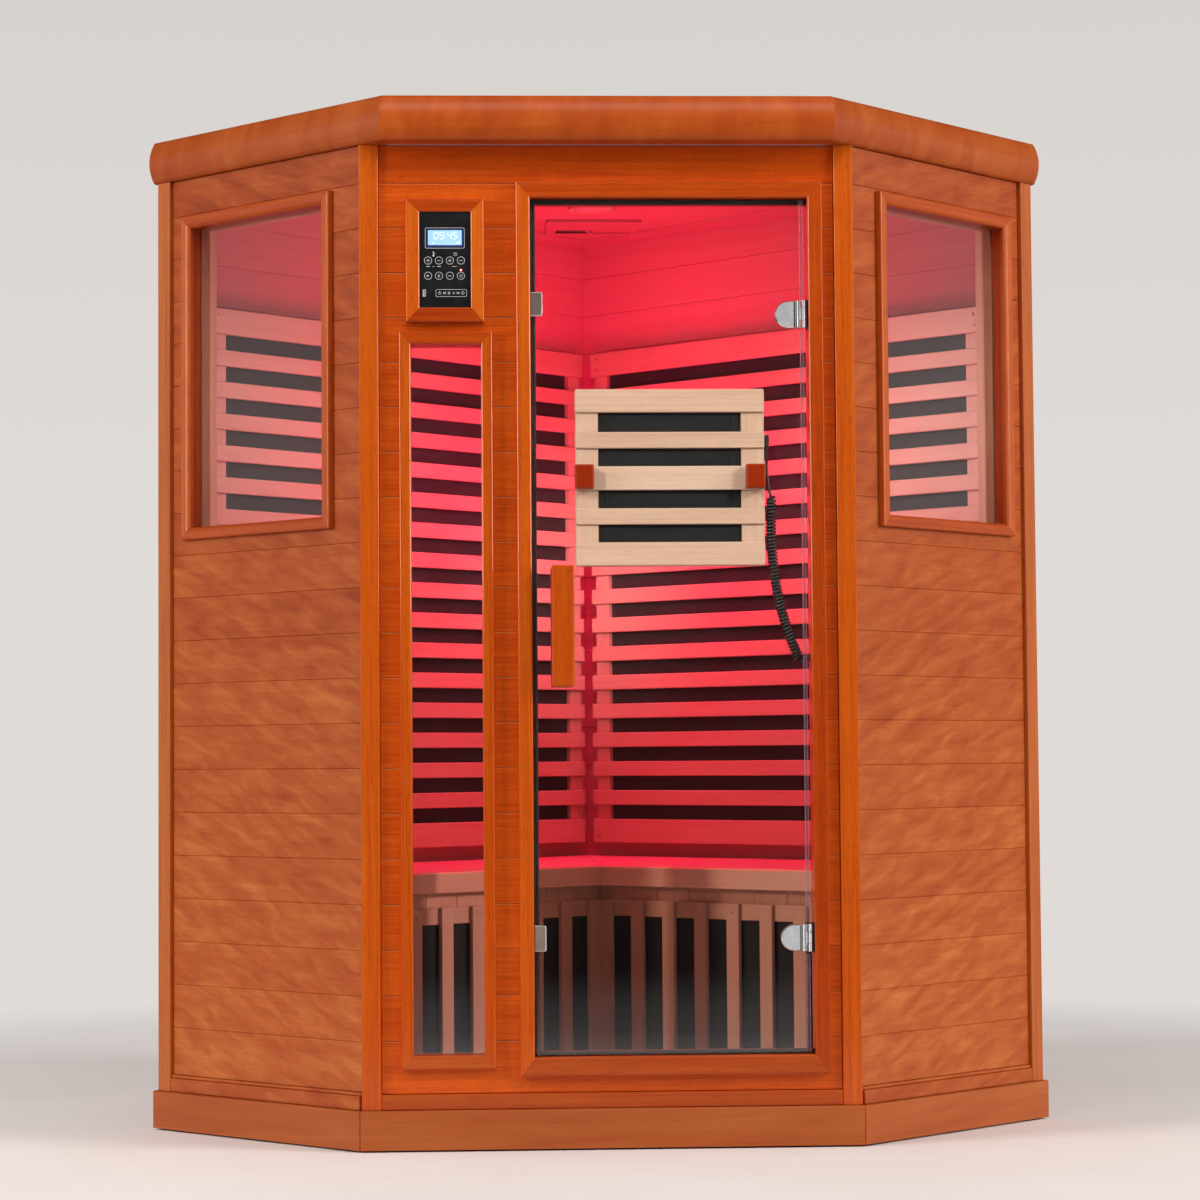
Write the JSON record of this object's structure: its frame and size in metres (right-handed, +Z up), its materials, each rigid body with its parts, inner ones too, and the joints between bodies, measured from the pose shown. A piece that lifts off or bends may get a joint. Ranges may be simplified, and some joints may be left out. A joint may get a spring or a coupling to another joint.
{
  "type": "corner infrared sauna cabin",
  "caption": "Corner infrared sauna cabin with clad wooden walls, a hinged glass door, windows, a V-shaped bench, slatted carbon heaters and a push-button control panel.",
  "frame": {"origin": "on the floor, under the middle of the cabin's bounding box", "axes": "+Z up; -Y is the front with the glass door; +X is the hinge side of the door, to the right of someone facing the front"},
  "size_m": [1.7282, 1.3168, 1.892],
  "materials": {
    "stained_wood": "red-brown stain under semi-gloss lacquer",
    "hemlock": "bare planed hemlock",
    "clear_glass": "clear tempered glass",
    "carbon_heater": "satin carbon film panel",
    "polished_steel": "polished stainless steel",
    "black_plastic": "satin black moulded plastic",
    "black_rubber": "matt black rubber",
    "display": "back-lit display",
    "lamp_lens": "red-lit lamp lens",
    "dust_sheet": "dull coated sheet"
  },
  "bodies": {
    "cabin": {"base_plinth": "stained_wood", "floor_panel": "hemlock", "front_wall": "stained_wood", "door_frame": "stained_wood", "door_gasket": "black_rubber", "narrow_window_moulding": "stained_wood", "narrow_window_glass": "clear_glass", "wing_wall_left": "stained_wood", "wing_wall_right": "stained_wood", "side_window_moulding_left": "stained_wood", "side_window_moulding_right": "stained_wood", "side_window_glass_left": "clear_glass", "side_window_glass_right": "clear_glass", "back_wall_left": "stained_wood", "back_wall_right": "stained_wood", "back_grille_left": "hemlock", "back_grille_right": "hemlock", "back_heater_left": "carbon_heater", "back_heater_right": "carbon_heater", "bench_seat": "hemlock", "bench_front": "hemlock", "leg_grille_left": "hemlock", "leg_grille_right": "hemlock", "leg_heater_left": "carbon_heater", "leg_heater_right": "carbon_heater", "roof_panel": "hemlock", "roof_moulding_front": "stained_wood", "roof_moulding_left": "stained_wood", "roof_moulding_right": "stained_wood", "roof_dust_cover": "dust_sheet", "power_supply_box": "black_plastic", "ceiling_lamp": "lamp_lens", "vent_frame": "hemlock", "control_frame": "stained_wood", "control_housing": "black_plastic", "control_display": "display", "hinge_frame_leaf_upper": "polished_steel", "hinge_frame_leaf_lower": "polished_steel"},
    "door": {"door_glass": "clear_glass", "door_handle_outer": "stained_wood", "door_handle_inner": "stained_wood", "heater_block_left": "stained_wood", "heater_block_right": "stained_wood", "door_heater_frame": "hemlock", "door_heater_panel": "carbon_heater", "hinge_door_leaf_upper": "polished_steel", "hinge_door_leaf_lower": "polished_steel", "catch_plate_upper": "polished_steel", "catch_plate_lower": "polished_steel", "cord_strain_relief": "black_rubber", "heater_cord": "black_rubber"},
    "vent_shutter": {"vent_shutter": "hemlock"},
    "button_1": {"control_button_1": "black_plastic"},
    "button_2": {"control_button_2": "black_plastic"},
    "button_3": {"control_button_3": "black_plastic"},
    "button_4": {"control_button_4": "black_plastic"},
    "button_5": {"control_button_5": "black_plastic"},
    "button_6": {"control_button_6": "black_plastic"},
    "button_7": {"control_button_7": "black_plastic"},
    "button_8": {"control_button_8": "black_plastic"}
  },
  "joints": [
    {"name": "door_hinge", "type": "hinge", "parent": "cabin", "child": "door", "pos_m": [0.3565, -0.599, 0.94], "axis": [0, 0, 1], "range_deg": [0, 105], "deforming": ["heater_cord"]},
    {"name": "button_1_press", "type": "slide", "parent": "cabin", "child": "button_1", "axis": [0, 1, 0], "range_m": [0, 0.0008], "stiffness_N_per_m": 1500},
    {"name": "button_2_press", "type": "slide", "parent": "cabin", "child": "button_2", "axis": [0, 1, 0], "range_m": [0, 0.0008], "stiffness_N_per_m": 1500},
    {"name": "button_3_press", "type": "slide", "parent": "cabin", "child": "button_3", "axis": [0, 1, 0], "range_m": [0, 0.0008], "stiffness_N_per_m": 1500},
    {"name": "button_4_press", "type": "slide", "parent": "cabin", "child": "button_4", "axis": [0, 1, 0], "range_m": [0, 0.0008], "stiffness_N_per_m": 1500},
    {"name": "button_5_press", "type": "slide", "parent": "cabin", "child": "button_5", "axis": [0, 1, 0], "range_m": [0, 0.0008], "stiffness_N_per_m": 1500},
    {"name": "button_6_press", "type": "slide", "parent": "cabin", "child": "button_6", "axis": [0, 1, 0], "range_m": [0, 0.0008], "stiffness_N_per_m": 1500},
    {"name": "button_7_press", "type": "slide", "parent": "cabin", "child": "button_7", "axis": [0, 1, 0], "range_m": [0, 0.0008], "stiffness_N_per_m": 1500},
    {"name": "button_8_press", "type": "slide", "parent": "cabin", "child": "button_8", "axis": [0, 1, 0], "range_m": [0, 0.0008], "stiffness_N_per_m": 1500},
    {"name": "vent_slide", "type": "slide", "parent": "cabin", "child": "vent_shutter", "axis": [-1, 0, 0], "range_m": [0, 0.063]}
  ]
}
